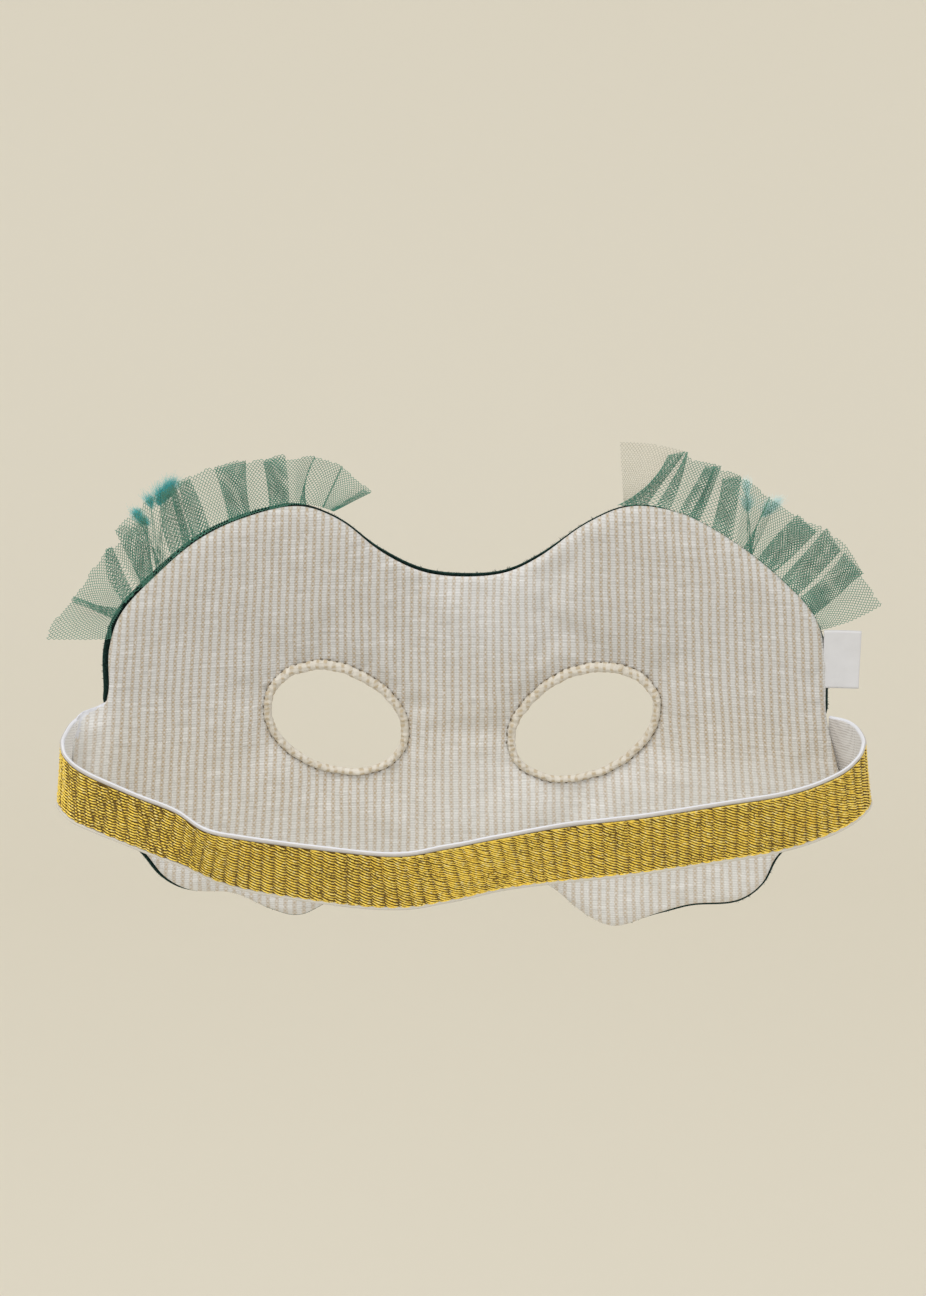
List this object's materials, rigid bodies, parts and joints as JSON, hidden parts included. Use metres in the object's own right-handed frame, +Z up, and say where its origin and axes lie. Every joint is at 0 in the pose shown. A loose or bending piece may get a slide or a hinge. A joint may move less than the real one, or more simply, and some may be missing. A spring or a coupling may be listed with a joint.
{
  "type": "dress-up eye mask",
  "caption": "Child's dress-up eye mask of cloth: striped lining, dark green pile front, two eye holes, gathered tulle frills and a gold elastic strap.",
  "frame": {"origin": "the lining's face between the eye holes, where the mask sits on the bridge of the nose", "axes": "+Z up as worn, +Y the way the wearer looks, +X to the wearer's right"},
  "size_m": [0.2304, 0.0678, 0.1427],
  "materials": {
    "lining": "woven cotton with narrow beige stripes",
    "pile": "short dark green pile",
    "tulle": "fine green net",
    "tuft": "soft turquoise fibres",
    "elastic": "ribbed knit with gold yarn on one face and white edges",
    "ribbon": "white satin ribbon"
  },
  "bodies": {
    "root": {"back_panel": "lining", "front_panel": "pile", "eye_rim_left": "lining", "eye_rim_right": "lining", "ruffle_left": "tulle", "ruffle_right": "tulle", "tuft_left": "tuft", "tuft_right": "tuft", "strap": "elastic", "side_label": "ribbon"}
  },
  "joints": []
}
